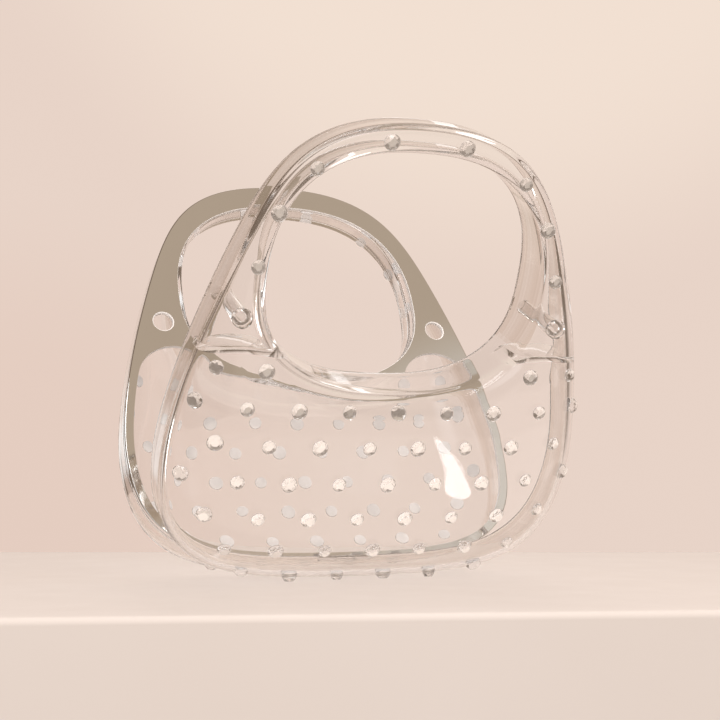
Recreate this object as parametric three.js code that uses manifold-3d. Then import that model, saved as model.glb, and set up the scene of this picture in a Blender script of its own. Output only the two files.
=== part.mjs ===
// A clear acrylic handbag in two hinged halves, set with crystal stones.
// Each half is a hollow moulding, with a pouch below and a handle loop above.
// The halves meet on a flat face and open like a book, about a hinge along the bottom edge.
// Millimetres, +Z up, the hinge along X, the front half towards -Y.
// The origin lies on the surface that the bag stands on, under the middle of the hinge.
//
// Each half is drawn upright in its own frame: x across, z up the meeting face from the hinge line,
// and depth measured from the meeting face outwards, which is -y. The rear half is then turned round.

import * as THREE from 'three';
import { mergeVertices } from 'three/addons/utils/BufferGeometryUtils.js';
import Module from 'manifold-3d';

const wasm = await Module();
wasm.setup();

const { degToRad } = THREE.MathUtils;
const DOWN = new THREE.Vector3(0, 0, -1);
const ACROSS = new THREE.Vector3(1, 0, 0);

// Stance: the bag stands open on the stones under its pouch
const OPENING = degToRad(50);
const LEAN = OPENING / 2;
const HINGE_HEIGHT = 7.6;

// Clearance between pieces that touch
const GAP = 0.3;

// Outer outline of the meeting face, right side, as three curves from the bottom to the top
const OUTLINE = {
  halfWidth: 99.7,
  widestAt: 59,
  top: 213.8,
  shoulderX: 78.7,
  shoulderZ: 151,
  shoulderLean: degToRad(19.5),
  bottomPull: 60,
  cornerPull: 58,
  sidePull: 26.7,
  lowerShoulderPull: 24.7,
  upperShoulderPull: 38.7,
  topPull: 54,
};

// Handle hole: a rounded-square oval, taller above its widest line than below it.
// Its wall leans in a little, from the face down to the foot at the meeting face.
const HOLE = { halfWidth: 64.5, centre: 143.3, rise: 57.8, drop: 46.9, squareness: 2.4 };
const HOLE_FOOT = { ...HOLE, halfWidth: 61.6, squareness: 2.55 };

// Depth of a half: full at the pouch, easing to the slim handle between two heights
const DEPTH = { pouch: 34.3, handle: 15, easeFrom: 60, easeTo: 205 };

// Wall, and the rounding of the face: long and soft outside the pouch, tighter along the handle.
// The shares say how much of the depth the rounding takes; they ease between two heights as well.
// The rounding at the hole grows with the band between the outline and the hole.
const WALL = 3.2;
const ROUND = {
  reach: 50,
  bandShare: 0.7,
  pouchShare: 0.6,
  handleShare: 0.22,
  easeFrom: 80,
  easeTo: 185,
  holeEdge: 10,
  holeShare: 0.32,
  leastEdge: 1,
};

// Mesh steps, and the small steps and tolerances used to measure contours and slopes
const SPOKES_PER_SIDE = 19;
const CONTOUR_STEPS = 240;
const FINE_ANGLES = 720;
const ANGLE_STEP = 0.01;
const SLOPE_STEP = 0.6;
const WELD = 1e-4;
const OUTER_STEPS = { round: 4, hole: 2 };
const INNER_STEPS = { round: 2, hole: 1 };
const ARC_STEPS = 6;

// Divider arch between the pouch and the handle channel at each shoulder of the front half
const DIVIDER = { x: 72.8, peak: 113.5, radius: 40, wall: 2.6, halfSpan: 24, setback: 8 };

// Pegs on the front half, their seats and the holes for them
const PEG = { x: 74.3, z: 127.9, radius: 3.8, bore: 2, reach: 8, tip: 1 };
const PEG_SEAT = { radius: 4.3, height: 1.9 };
const PEG_HOLE_RADIUS = 5;
const ROUND_SIDES = 14;

// Mirror plate on the rear half. Its strip under the handle hole is wide at the lobes of the pouch opening
// and tapers to a thin line in the middle.
const PLATE = { thickness: 2, border: 4.4, lobeX: 70.2, lobeZ: 94.2, lobeRadius: 19.8 };
const PLATE_LOBE_ARC = { from: degToRad(13), to: degToRad(149), steps: 11, clear: 1 };
const PLATE_STRIP = { narrow: 1.5, narrowX: 20, wide: 7.5, wideX: 54 };
const PLATE_BACK = GAP + PLATE.thickness;
const REAR_BASE = PLATE_BACK + GAP;

// Hinge: one front knuckle between two rear ones, on a thin pin
const HINGE = { knuckle: 2.2, relief: 2.6, bore: 1.15, pin: 0.8, pinLength: 25, sides: 12 };
const FRONT_KNUCKLE_HALF = 4.5;
const REAR_KNUCKLE = { from: 4.9, to: 13 };
const HINGE_END_PLAY = 0.5;
const HINGE_END = REAR_KNUCKLE.to + HINGE_END_PLAY;
const KNUCKLE_WEB = 2;

// Stones: two sizes in turn along staggered rows that rise a little at the sides.
// The upper rows of the rear half sit a little lower than those of the front half.
const STONE = { large: 7.4, small: 6.4, rise: 0.3, table: 0.58, sunk: 0.6, sides: 8 };
const STONE_PITCH = 23.2;
const STONE_SIDE_MARGIN = 5.4;
const ROW_RISE = 2;
const POUCH_ROWS = [
  { z: 89.8, rearDrop: 2.5, last: 4 },
  { z: 73.4, rearDrop: 2, last: 3.5 },
  { z: 56.1, rearDrop: 1, last: 4 },
  { z: 38.8, rearDrop: 0.5, last: 3.5 },
  { z: 21.6, rearDrop: 0.6, last: 3 },
];
const BOTTOM_ROW = { last: 2.5, inset: 4.3, feetTo: 1.5 };
const FOOT_SUNK = 1.6;
const SHOULDER_STONES = [
  { x: 62.7, z: 107, size: STONE.large },
  { x: 84, z: 107.5, size: STONE.small },
];
const HANDLE_STONES = [
  { x: 70, z: 150, size: STONE.small },
  { x: 63, z: 172.5, size: STONE.large },
  { x: 48.7, z: 192, size: STONE.small },
  { x: 17.5, z: 205.5, size: STONE.large },
];

// Contours of the meeting face

function outlineHalf() {
  const bottom = new THREE.Vector2(0, 0);
  const widest = new THREE.Vector2(OUTLINE.halfWidth, OUTLINE.widestAt);
  const shoulder = new THREE.Vector2(OUTLINE.shoulderX, OUTLINE.shoulderZ);
  const top = new THREE.Vector2(0, OUTLINE.top);
  const climb = new THREE.Vector2(-Math.sin(OUTLINE.shoulderLean), Math.cos(OUTLINE.shoulderLean));
  const curve = new THREE.CurvePath();
  curve.add(new THREE.CubicBezierCurve(
    bottom,
    new THREE.Vector2(OUTLINE.bottomPull, 0),
    new THREE.Vector2(OUTLINE.halfWidth, OUTLINE.widestAt - OUTLINE.cornerPull),
    widest,
  ));
  curve.add(new THREE.CubicBezierCurve(
    widest,
    new THREE.Vector2(OUTLINE.halfWidth, OUTLINE.widestAt + OUTLINE.sidePull),
    shoulder.clone().addScaledVector(climb, -OUTLINE.lowerShoulderPull),
    shoulder,
  ));
  curve.add(new THREE.CubicBezierCurve(
    shoulder,
    shoulder.clone().addScaledVector(climb, OUTLINE.upperShoulderPull),
    new THREE.Vector2(OUTLINE.topPull, OUTLINE.top),
    top,
  ));
  return curve.getSpacedPoints(CONTOUR_STEPS);
}

function holeHalf(hole) {
  const power = 2 / hole.squareness;
  const points = [];
  for (let step = 0; step <= CONTOUR_STEPS; step += 1) {
    const turn = Math.PI * step / CONTOUR_STEPS;
    const height = turn < Math.PI / 2 ? -hole.drop : hole.rise;
    const x = hole.halfWidth * Math.abs(Math.sin(turn)) ** power;
    points.push(new THREE.Vector2(x, hole.centre + height * Math.abs(Math.cos(turn)) ** power));
  }
  return points;
}

function wholeLoop(half) {
  const left = half.slice(1, -1).reverse().map((point) => new THREE.Vector2(-point.x, point.y));
  return [...half, ...left];
}

// A contour seen from the middle of the handle hole: angle from straight down, and radius
function polarTable(half) {
  return half.map((point) => ({
    angle: Math.atan2(point.x, HOLE.centre - point.y),
    radius: Math.hypot(point.x, point.y - HOLE.centre),
  }));
}

const OUTER_HALF = outlineHalf();
const OUTER_LOOP = wholeLoop(OUTER_HALF);
const HOLE_LOOP = wholeLoop(holeHalf(HOLE));
const OUTER_POLAR = polarTable(OUTER_HALF);
const HOLE_POLAR = polarTable(holeHalf(HOLE));
const HOLE_FOOT_POLAR = polarTable(holeHalf(HOLE_FOOT));

function contourPoint(polar, angle) {
  const seek = Math.min(Math.abs(angle), polar.at(-1).angle);
  const above = Math.max(1, polar.findIndex((entry) => entry.angle >= seek));
  const low = polar[above - 1];
  const high = polar[above];
  const share = (seek - low.angle) / (high.angle - low.angle);
  const radius = THREE.MathUtils.lerp(low.radius, high.radius, share);
  return new THREE.Vector2(radius * Math.sin(angle), HOLE.centre - radius * Math.cos(angle));
}

// The contour moved sideways: towards the middle of the handle hole where offset is positive
function offsetPoint(polar, angle, offset) {
  const ahead = contourPoint(polar, angle + ANGLE_STEP);
  const along = ahead.sub(contourPoint(polar, angle - ANGLE_STEP)).normalize();
  return contourPoint(polar, angle).add(new THREE.Vector2(-along.y, along.x).multiplyScalar(offset));
}

// Spoke angles that share out the length of both contours evenly, right round the bag
function spokeAngles() {
  const lengths = [0];
  for (let step = 1; step <= FINE_ANGLES; step += 1) {
    const before = Math.PI * (step - 1) / FINE_ANGLES;
    const after = Math.PI * step / FINE_ANGLES;
    const outer = contourPoint(OUTER_POLAR, after).distanceTo(contourPoint(OUTER_POLAR, before));
    const inner = contourPoint(HOLE_POLAR, after).distanceTo(contourPoint(HOLE_POLAR, before));
    lengths.push(lengths[step - 1] + outer + inner);
  }
  const right = [];
  for (let spoke = 0; spoke <= SPOKES_PER_SIDE; spoke += 1) {
    const seek = lengths[FINE_ANGLES] * spoke / SPOKES_PER_SIDE;
    const index = lengths.findIndex((length) => length >= seek - WELD);
    right.push(Math.PI * index / FINE_ANGLES);
  }
  const left = right.slice(1, -1).reverse().map((angle) => -angle);
  return [...right, ...left];
}

const SPOKE_ANGLES = spokeAngles();

// Depth of the skin over a point of the meeting face

function distanceTo(loop, x, z) {
  let best = Infinity;
  loop.forEach((start, index) => {
    const end = loop[(index + 1) % loop.length];
    const runX = end.x - start.x;
    const runZ = end.y - start.y;
    const along = ((x - start.x) * runX + (z - start.y) * runZ) / (runX * runX + runZ * runZ);
    const share = THREE.MathUtils.clamp(along, 0, 1);
    best = Math.min(best, Math.hypot(x - start.x - runX * share, z - start.y - runZ * share));
  });
  return best;
}

// 1 over the pouch, easing to 0 at the handle
function pouchEase(z, { easeFrom, easeTo }) {
  const share = THREE.MathUtils.clamp((z - easeFrom) / (easeTo - easeFrom), 0, 1);
  return (1 + Math.cos(Math.PI * share)) / 2;
}

// Width of the rounding at the hole, where the band from the outline to the hole has this width
function holeEdge(band, inset) {
  return Math.max(Math.min(ROUND.holeEdge, ROUND.holeShare * band) - inset, ROUND.leastEdge);
}

// Quarter of an ellipse: 1 at the edge, falling to 0 where the rounding ends
function quarterRound(share) {
  const rest = 1 - THREE.MathUtils.clamp(share, 0, 1);
  return 1 - Math.sqrt(1 - rest * rest);
}

// inset 0 gives the outer skin and WALL gives the wall of the hollow
function skinDepth(x, z, inset) {
  const fromOutline = distanceTo(OUTER_LOOP, x, z) - inset;
  const fromHole = distanceTo(HOLE_LOOP, x, z) - inset;
  const edge = holeEdge(fromOutline + fromHole + 2 * inset, inset);
  const reach = Math.min(ROUND.reach - inset, ROUND.bandShare * (fromOutline + fromHole - edge));
  const full = THREE.MathUtils.lerp(DEPTH.handle, DEPTH.pouch, pouchEase(z, DEPTH));
  const share = THREE.MathUtils.lerp(ROUND.handleShare, ROUND.pouchShare, pouchEase(z, ROUND));
  const drop = Math.max(share * full - inset, ROUND.leastEdge);
  return full - inset - drop * quarterRound(fromOutline / reach) - edge * quarterRound(fromHole / edge);
}

// One section of the skin, from the outline over the face to the handle hole
function skinSection(angle, inset, base, steps) {
  const outer = offsetPoint(OUTER_POLAR, angle, inset);
  const inner = offsetPoint(HOLE_POLAR, angle, -inset);
  const span = outer.distanceTo(inner);
  const edge = holeEdge(span + 2 * inset, inset);
  const reach = Math.min(ROUND.reach - inset, ROUND.bandShare * (span - edge));
  const places = [];
  for (let step = 0; step <= steps.round; step += 1) {
    places.push(reach * (1 - Math.cos(Math.PI / 2 * step / steps.round)));
  }
  places.push((reach + span - edge) / 2);
  for (let step = steps.hole; step >= 0; step -= 1) {
    places.push(span - edge * (1 - Math.cos(Math.PI / 2 * step / steps.hole)));
  }
  const skin = places.map((place) => {
    const point = outer.clone().lerp(inner, place / span);
    return new THREE.Vector3(point.x, -skinDepth(point.x, point.y, inset), point.y);
  });
  const foot = new THREE.Vector3(outer.x, -base, outer.y);
  const innerFoot = offsetPoint(HOLE_FOOT_POLAR, angle, -inset);
  const holeFoot = new THREE.Vector3(innerFoot.x, -base, innerFoot.y);
  return [foot, ...skin, holeFoot];
}

// Solids

function ringGeometry(sections) {
  const size = sections[0].length;
  const faces = [];
  sections.forEach((section, ring) => {
    const next = (ring + 1) % sections.length;
    section.forEach((point, place) => {
      const after = (place + 1) % size;
      faces.push(ring * size + place, next * size + place, next * size + after);
      faces.push(ring * size + place, next * size + after, ring * size + after);
    });
  });
  const geometry = new THREE.BufferGeometry().setFromPoints(sections.flat());
  geometry.setIndex(faces);
  return geometry;
}

function solidOf(geometry) {
  const bare = geometry.clone();
  bare.deleteAttribute('normal');
  bare.deleteAttribute('uv');
  const merged = mergeVertices(bare, WELD);
  return new wasm.Manifold(new wasm.Mesh({
    numProp: 3,
    vertProperties: new Float32Array(merged.attributes.position.array),
    triVerts: new Uint32Array(merged.index.array),
  }));
}

function geometryOf(solid) {
  const mesh = solid.getMesh();
  const geometry = new THREE.BufferGeometry();
  geometry.setAttribute('position', new THREE.BufferAttribute(new Float32Array(mesh.vertProperties), 3));
  geometry.setIndex(new THREE.BufferAttribute(new Uint32Array(mesh.triVerts), 1));
  geometry.computeVertexNormals();
  return geometry;
}

function rodAlongHinge(radius, from, to) {
  const rod = new THREE.CylinderGeometry(radius, radius, to - from, HINGE.sides);
  return rod.rotateZ(Math.PI / 2).translate((from + to) / 2, 0, 0);
}

// A flat shape on the meeting face, carried outwards between two depths
function slab(shape, from, to) {
  const geometry = new THREE.ExtrudeGeometry(shape, {
    depth: to - from,
    curveSegments: ARC_STEPS,
    bevelEnabled: false,
  });
  return geometry.rotateX(Math.PI / 2).translate(0, -from, 0);
}

function discShape(x, z, radius) {
  const shape = new THREE.Shape();
  shape.absarc(x, z, radius, 0, 2 * Math.PI);
  return new THREE.Shape(shape.getSpacedPoints(ROUND_SIDES).slice(0, -1));
}

function dividerShape(side) {
  const middle = new THREE.Vector2(side * DIVIDER.x, DIVIDER.peak - DIVIDER.radius);
  const spread = Math.asin(DIVIDER.halfSpan / DIVIDER.radius);
  const from = Math.PI / 2 - spread;
  const to = Math.PI / 2 + spread;
  const shape = new THREE.Shape();
  shape.absarc(middle.x, middle.y, DIVIDER.radius, from, to);
  shape.absarc(middle.x, middle.y, DIVIDER.radius + DIVIDER.wall, to, from, true);
  return shape;
}

// Stones

function stonePlaces(isRear) {
  const places = [];
  POUCH_ROWS.forEach((row) => {
    const height = isRear ? row.z - row.rearDrop : row.z;
    for (let column = -row.last; column <= row.last; column += 1) {
      const size = Math.floor(column) % 2 === 0 ? STONE.large : STONE.small;
      const limit = widthAt(row.z) - STONE_SIDE_MARGIN;
      const x = THREE.MathUtils.clamp(column * STONE_PITCH, -limit, limit);
      places.push({ x, z: height + ROW_RISE * (x / OUTLINE.halfWidth) ** 2, size });
    }
  });
  [...SHOULDER_STONES, ...HANDLE_STONES].forEach((stone) => {
    places.push(stone, { ...stone, x: -stone.x });
  });
  for (let column = -BOTTOM_ROW.last; column <= BOTTOM_ROW.last; column += 1) {
    const size = Math.floor(column) % 2 === 0 ? STONE.large : STONE.small;
    const x = column * STONE_PITCH;
    const foot = Math.abs(column) <= BOTTOM_ROW.feetTo;
    places.push({ x, z: bottomAt(Math.abs(x)) + BOTTOM_ROW.inset, size, foot });
  }
  return places;
}

// Half width of the outline at a height above the widest line, or close under it
function widthAt(z) {
  return Math.max(...OUTER_HALF.filter((point) => point.y >= z).map((point) => point.x));
}

// Height of the outline's bottom edge
function bottomAt(x) {
  return OUTER_HALF.find((point) => point.x >= x).y;
}

function skinNormal(x, z) {
  const rightward = skinDepth(x + SLOPE_STEP, z, 0) - skinDepth(x - SLOPE_STEP, z, 0);
  const upward = skinDepth(x, z + SLOPE_STEP, 0) - skinDepth(x, z - SLOPE_STEP, 0);
  return new THREE.Vector3(-rightward, -2 * SLOPE_STEP, -upward).normalize();
}

// A cut stone: an eight-sided crown under a flat table, its foot sunk into the wall.
// A foot stone points straight down, and its table lies on the surface that the bag stands on.
function stoneSolid({ x, z, size, foot }) {
  const seat = new THREE.Vector3(x, -skinDepth(x, z, 0), z);
  const axis = foot ? DOWN.clone().applyAxisAngle(ACROSS, -LEAN) : skinNormal(x, z);
  const standing = HINGE_HEIGHT + seat.clone().applyAxisAngle(ACROSS, LEAN).z;
  const rise = foot ? standing : STONE.rise * size;
  const sunk = foot ? FOOT_SUNK : STONE.sunk;
  const crown = new THREE.CylinderGeometry(STONE.table * size / 2, size / 2, rise + sunk, STONE.sides);
  crown.translate(0, (rise - sunk) / 2, 0);
  const turn = new THREE.Quaternion().setFromUnitVectors(new THREE.Vector3(0, 1, 0), axis);
  return solidOf(crown.applyQuaternion(turn).translate(seat.x, seat.y, seat.z));
}

// A half shell: skin and hollow as one ring of wall, with its stones.
// What stands in the hollow is trimmed to a core that ends in the middle of the wall.

function halfShell(base, isRear) {
  const walls = SPOKE_ANGLES.map((angle) => [
    ...skinSection(angle, 0, base, OUTER_STEPS),
    ...skinSection(angle, WALL, base, INNER_STEPS).reverse(),
  ]);
  const middles = SPOKE_ANGLES.map((angle) => skinSection(angle, WALL / 2, base, INNER_STEPS));
  const core = solidOf(ringGeometry(middles));
  let shell = solidOf(ringGeometry(walls));
  stonePlaces(isRear).forEach((place) => {
    shell = shell.add(stoneSolid(place));
  });
  return { shell, core };
}

const PEG_SEAT_DEPTH = skinDepth(PEG.x, PEG.z, WALL) - PEG_SEAT.height;

function frontShell() {
  const { shell, core } = halfShell(0, false);
  let solid = shell;
  [-1, 1].forEach((side) => {
    const divider = slab(dividerShape(side), DIVIDER.setback, DEPTH.pouch);
    solid = solid.add(solidOf(divider).intersect(core));
    const seat = slab(discShape(side * PEG.x, PEG.z, PEG_SEAT.radius), PEG_SEAT_DEPTH, DEPTH.pouch);
    solid = solid.add(solidOf(seat).intersect(core));
    const gapFrom = Math.min(side * FRONT_KNUCKLE_HALF, side * HINGE_END);
    const gapTo = Math.max(side * FRONT_KNUCKLE_HALF, side * HINGE_END);
    solid = solid.subtract(solidOf(rodAlongHinge(HINGE.relief, gapFrom, gapTo)));
  });
  const knuckle = rodAlongHinge(HINGE.knuckle, -FRONT_KNUCKLE_HALF, FRONT_KNUCKLE_HALF);
  solid = solid.add(solidOf(knuckle));
  return solid.subtract(solidOf(rodAlongHinge(HINGE.bore, -HINGE_END, HINGE_END)));
}

function rearShell() {
  let solid = halfShell(REAR_BASE, true).shell;
  const webReach = REAR_BASE + KNUCKLE_WEB;
  const width = REAR_KNUCKLE.to - REAR_KNUCKLE.from;
  const middle = (REAR_KNUCKLE.to + REAR_KNUCKLE.from) / 2;
  [-1, 1].forEach((side) => {
    const knuckle = rodAlongHinge(HINGE.knuckle, side * middle - width / 2, side * middle + width / 2);
    const web = new THREE.BoxGeometry(width, webReach, KNUCKLE_WEB);
    web.translate(side * middle, -webReach / 2, KNUCKLE_WEB / 2);
    solid = solid.add(solidOf(knuckle).add(solidOf(web)));
  });
  return solid.subtract(solidOf(rodAlongHinge(HINGE.bore, -HINGE_END, HINGE_END)));
}

// Mirror plate: the outline of the meeting face with the handle hole, pouch opening and peg holes cut out

function stripWidth(x) {
  const { narrow, narrowX, wide, wideX } = PLATE_STRIP;
  return THREE.MathUtils.lerp(narrow, wide, THREE.MathUtils.smoothstep(x, narrowX, wideX));
}

function pouchOpening() {
  const right = [];
  const lobe = new THREE.Vector2(PLATE.lobeX, PLATE.lobeZ);
  const { from, to, steps, clear } = PLATE_LOBE_ARC;
  const lobeStart = lobe.y + PLATE.lobeRadius * Math.sin(from);
  const lobeEnd = lobe.x + PLATE.lobeRadius * Math.cos(to);
  SPOKE_ANGLES.filter((angle) => angle >= 0).forEach((angle) => {
    const point = offsetPoint(OUTER_POLAR, angle, PLATE.border);
    if (point.y < lobeStart - clear) {
      right.push(point);
    }
  });
  for (let step = 0; step <= steps; step += 1) {
    const turn = THREE.MathUtils.lerp(from, to, step / steps);
    const spoke = new THREE.Vector2(Math.cos(turn), Math.sin(turn));
    right.push(spoke.multiplyScalar(PLATE.lobeRadius).add(lobe));
  }
  SPOKE_ANGLES.filter((angle) => angle >= 0 && angle < Math.PI / 2).reverse().forEach((angle) => {
    const point = offsetPoint(HOLE_POLAR, angle, -stripWidth(contourPoint(HOLE_POLAR, angle).x));
    if (point.x < lobeEnd - clear) {
      right.push(point);
    }
  });
  return wholeLoop(right);
}

function mirrorPlate() {
  const shape = new THREE.Shape(SPOKE_ANGLES.map((angle) => contourPoint(OUTER_POLAR, angle)));
  shape.holes.push(new THREE.Path(SPOKE_ANGLES.map((angle) => contourPoint(HOLE_POLAR, angle))));
  shape.holes.push(new THREE.Path(pouchOpening()));
  [-1, 1].forEach((side) => {
    shape.holes.push(new THREE.Path(discShape(side * PEG.x, PEG.z, PEG_HOLE_RADIUS).getPoints()));
  });
  const plate = solidOf(slab(shape, GAP, PLATE_BACK));
  const notch = new THREE.BoxGeometry(2 * HINGE_END, 2 * PLATE_BACK, 2 * HINGE.relief);
  return plate.subtract(solidOf(notch.translate(0, -PLATE_BACK, 0)));
}

// A peg: a tube that stands on its seat and reaches past the meeting face, with a tapered tip
function pegGeometry() {
  const root = -PEG_SEAT_DEPTH + GAP;
  const profile = [
    new THREE.Vector2(PEG.bore, root),
    new THREE.Vector2(PEG.radius, root),
    new THREE.Vector2(PEG.radius, PEG.reach - PEG.tip),
    new THREE.Vector2(PEG.radius - PEG.tip, PEG.reach),
    new THREE.Vector2(PEG.bore, PEG.reach),
    new THREE.Vector2(PEG.bore, root),
  ];
  return new THREE.LatheGeometry(profile, ROUND_SIDES);
}

// Finishes

function clearAcrylic() {
  return new THREE.MeshStandardMaterial({
    color: 0xf3e9e2,
    roughness: 0.04,
    metalness: 0,
    transparent: true,
    opacity: 0.35,
  });
}

function mirrorSilver() {
  return new THREE.MeshStandardMaterial({ color: 0xb4a797, roughness: 0.05, metalness: 1 });
}

function hingeSteel() {
  return new THREE.MeshStandardMaterial({ color: 0x9a9188, roughness: 0.3, metalness: 1 });
}

// Assembly

function addPiece(parent, name, geometry, material) {
  const mesh = new THREE.Mesh(geometry, material);
  mesh.name = name;
  parent.add(mesh);
  return mesh;
}

const bag = new THREE.Group();
bag.position.z = HINGE_HEIGHT;

const frontHalf = new THREE.Group();
frontHalf.rotation.x = LEAN;
bag.add(frontHalf);
addPiece(frontHalf, 'front_shell', geometryOf(frontShell()), clearAcrylic());
[{ name: 'peg_left', side: -1 }, { name: 'peg_right', side: 1 }].forEach(({ name, side }) => {
  const peg = addPiece(frontHalf, name, geometryOf(solidOf(pegGeometry())), clearAcrylic());
  peg.position.set(side * PEG.x, 0, PEG.z);
});

const rearHalf = new THREE.Group();
rearHalf.rotation.set(-LEAN, 0, Math.PI);
bag.add(rearHalf);
addPiece(rearHalf, 'rear_shell', geometryOf(rearShell()), clearAcrylic());
addPiece(rearHalf, 'mirror_plate', geometryOf(mirrorPlate()), mirrorSilver());
const pin = rodAlongHinge(HINGE.pin, -HINGE.pinLength / 2, HINGE.pinLength / 2);
addPiece(rearHalf, 'hinge_pin', geometryOf(solidOf(pin)), hingeSteel());

export default bag;
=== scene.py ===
"""Looks of the clear acrylic handbag: shells, stones, mirror frame, pegs, hinge pin and studio.

Lengths are millimetres in each half's own frame and become metres when a mesh is made. A half is
drawn upright: x across, z up the meeting face from the hinge line, and depth outwards from the
meeting face, which is -y. The front half then leans forwards and the rear half is turned round.
"""

from __future__ import annotations

import logging
import math
from collections.abc import Sequence
from dataclasses import dataclass, field, replace
from enum import Enum

import bpy
import numpy as np
from mathutils import Matrix

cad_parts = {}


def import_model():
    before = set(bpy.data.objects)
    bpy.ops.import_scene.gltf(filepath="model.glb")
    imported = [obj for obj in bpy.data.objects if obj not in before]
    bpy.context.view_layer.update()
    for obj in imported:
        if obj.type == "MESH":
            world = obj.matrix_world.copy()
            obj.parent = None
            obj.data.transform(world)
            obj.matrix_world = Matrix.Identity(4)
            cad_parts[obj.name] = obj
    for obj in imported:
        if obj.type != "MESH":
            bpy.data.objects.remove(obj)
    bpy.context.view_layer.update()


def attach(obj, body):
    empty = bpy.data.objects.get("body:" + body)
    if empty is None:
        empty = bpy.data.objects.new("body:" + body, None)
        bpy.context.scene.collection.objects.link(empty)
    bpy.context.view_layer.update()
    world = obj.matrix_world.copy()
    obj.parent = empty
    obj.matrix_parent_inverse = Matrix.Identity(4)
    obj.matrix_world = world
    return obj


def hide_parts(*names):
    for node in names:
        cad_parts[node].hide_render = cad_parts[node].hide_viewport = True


Array = np.ndarray
Colour = tuple[float, float, float]
Direction = tuple[float, float, float]

LOG = logging.getLogger("handbag")
METRES = 0.001
QUARTER = math.pi / 2.0
SMOOTH_LIMIT = math.radians(38.0)
UP = np.array([0.0, 0.0, 1.0])


class Half(Enum):
    """The two halves of the bag, named as the bodies that carry them."""

    FRONT = "front_half"
    REAR = "rear_half"

    @property
    def facing(self) -> float:
        """1 for the half as drawn and -1 for the half that is turned round."""
        return 1.0 if self is Half.FRONT else -1.0

    @property
    def word(self) -> str:
        """The half's short name, for the names of its pieces."""
        return self.name.lower()


class Join(Enum):
    """Ways that one solid is worked into another."""

    ADD = "UNION"
    CUT = "DIFFERENCE"


@dataclass(frozen=True)
class Stance:
    """How the open bag stands: each half leans out from the hinge by half the opening."""

    lean: float = math.radians(25.0)
    hinge_height: float = 7.6

    def outwards(self, half: Half) -> Direction:
        """Direction of a half's depth in the row frame."""
        return (0.0, -half.facing * math.cos(self.lean), -math.sin(self.lean))

    def place(self, points: Array, half: Half) -> Array:
        """Carries points of a half's own frame to the row frame.

        The point turns by the lean about the hinge, rises by the hinge's height, and for the rear
        half also turns half round about the upright axis.

        Args:
            points: Points in millimetres, last axis x, y, z.
            half: The half that they belong to.

        Returns:
            The points in metres in the row frame.
        """
        x, y, z = np.moveaxis(points, -1, 0)
        forward = y * math.cos(self.lean) - z * math.sin(self.lean)
        up = y * math.sin(self.lean) + z * math.cos(self.lean) + self.hinge_height
        return np.stack([half.facing * x, half.facing * forward, up], axis=-1) * METRES


STANCE = Stance()


def unit(vectors: Array) -> Array:
    """Vectors of length 1 in the same directions."""
    return vectors / np.linalg.norm(vectors, axis=-1, keepdims=True)


def whole_turn(count: int) -> Array:
    """Angles in even steps once round."""
    return np.linspace(0.0, 2.0 * math.pi, count, endpoint=False)


def rays(turn: Array) -> Array:
    """Flat directions of length 1 at some angles."""
    return np.stack([np.cos(turn), np.sin(turn)], axis=-1)


def raised(spots: Array, depth: Array | float) -> Array:
    """Points of the meeting face carried outwards.

    Args:
        spots: Points of the meeting face.
        depth: One depth, or one for each point.

    Returns:
        The points as x, y, z in the half's own frame.
    """
    y = np.broadcast_to(-np.asarray(depth), spots.shape[:-1])
    return np.stack([spots[..., 0], y, spots[..., 1]], axis=-1)


def pose_of(axes: Sequence[Array], at: Sequence[float]) -> Matrix:
    """The turn and place of a camera or light.

    Args:
        axes: Its own x, y and z directions.
        at: Where it stands.

    Returns:
        The matrix.
    """
    turned = np.eye(4)
    turned[:3, :3] = np.stack(axes, axis=1)
    turned[:3, 3] = at
    return Matrix(turned.tolist())


def shade_smooth(mesh: bpy.types.Mesh) -> None:
    """Shades a mesh smooth except over its sharp edges."""
    mesh.polygons.foreach_set("use_smooth", np.ones(len(mesh.polygons), dtype=bool))
    mesh.set_sharp_from_angle(angle=SMOOTH_LIMIT)


def ring_faces(rows: int, columns: int) -> Array:
    """Quads of a grid that closes on itself both ways.

    Args:
        rows: Number of rows.
        columns: Number of points in a row.

    Returns:
        Four point numbers for each quad.
    """
    row = np.arange(rows)[:, None]
    column = np.arange(columns)[None, :]
    next_row = (row + 1) % rows
    next_column = (column + 1) % columns
    corners = [
        row * columns + column,
        row * columns + next_column,
        next_row * columns + next_column,
        next_row * columns + column,
    ]
    return np.stack(corners, axis=-1).reshape(-1, 4)


def tube_faces(rows: int, columns: int) -> list[list[int]]:
    """Faces of a closed section carried along an open path, with a flat cap at each end.

    Args:
        rows: Number of sections along the path.
        columns: Number of points in a section.

    Returns:
        A list of point numbers for each face.
    """
    quads = ring_faces(rows, columns).reshape(rows, columns, 4)[:-1].reshape(-1, 4)
    first = np.arange(columns)[::-1]
    last = (rows - 1) * columns + np.arange(columns)
    return [*quads.tolist(), first.tolist(), last.tolist()]


def signed_volume(points: Array, faces: Sequence[Sequence[int]]) -> float:
    """Volume enclosed by the faces, below zero where they point inwards.

    Args:
        points: Points, last axis x, y, z.
        faces: Point numbers of each face, taken as a fan about its first point.

    Returns:
        The sum of the tetrahedra between the origin and each triangle of each fan.
    """
    total = 0.0
    for size in sorted({len(face) for face in faces}):
        group = np.array([face for face in faces if len(face) == size])
        first = points[group[:, 0]]
        for corner in range(1, size - 1):
            across = np.cross(points[group[:, corner]], points[group[:, corner + 1]])
            total += float(np.einsum("ij,ij->", first, across)) / 6.0
    return total


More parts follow.
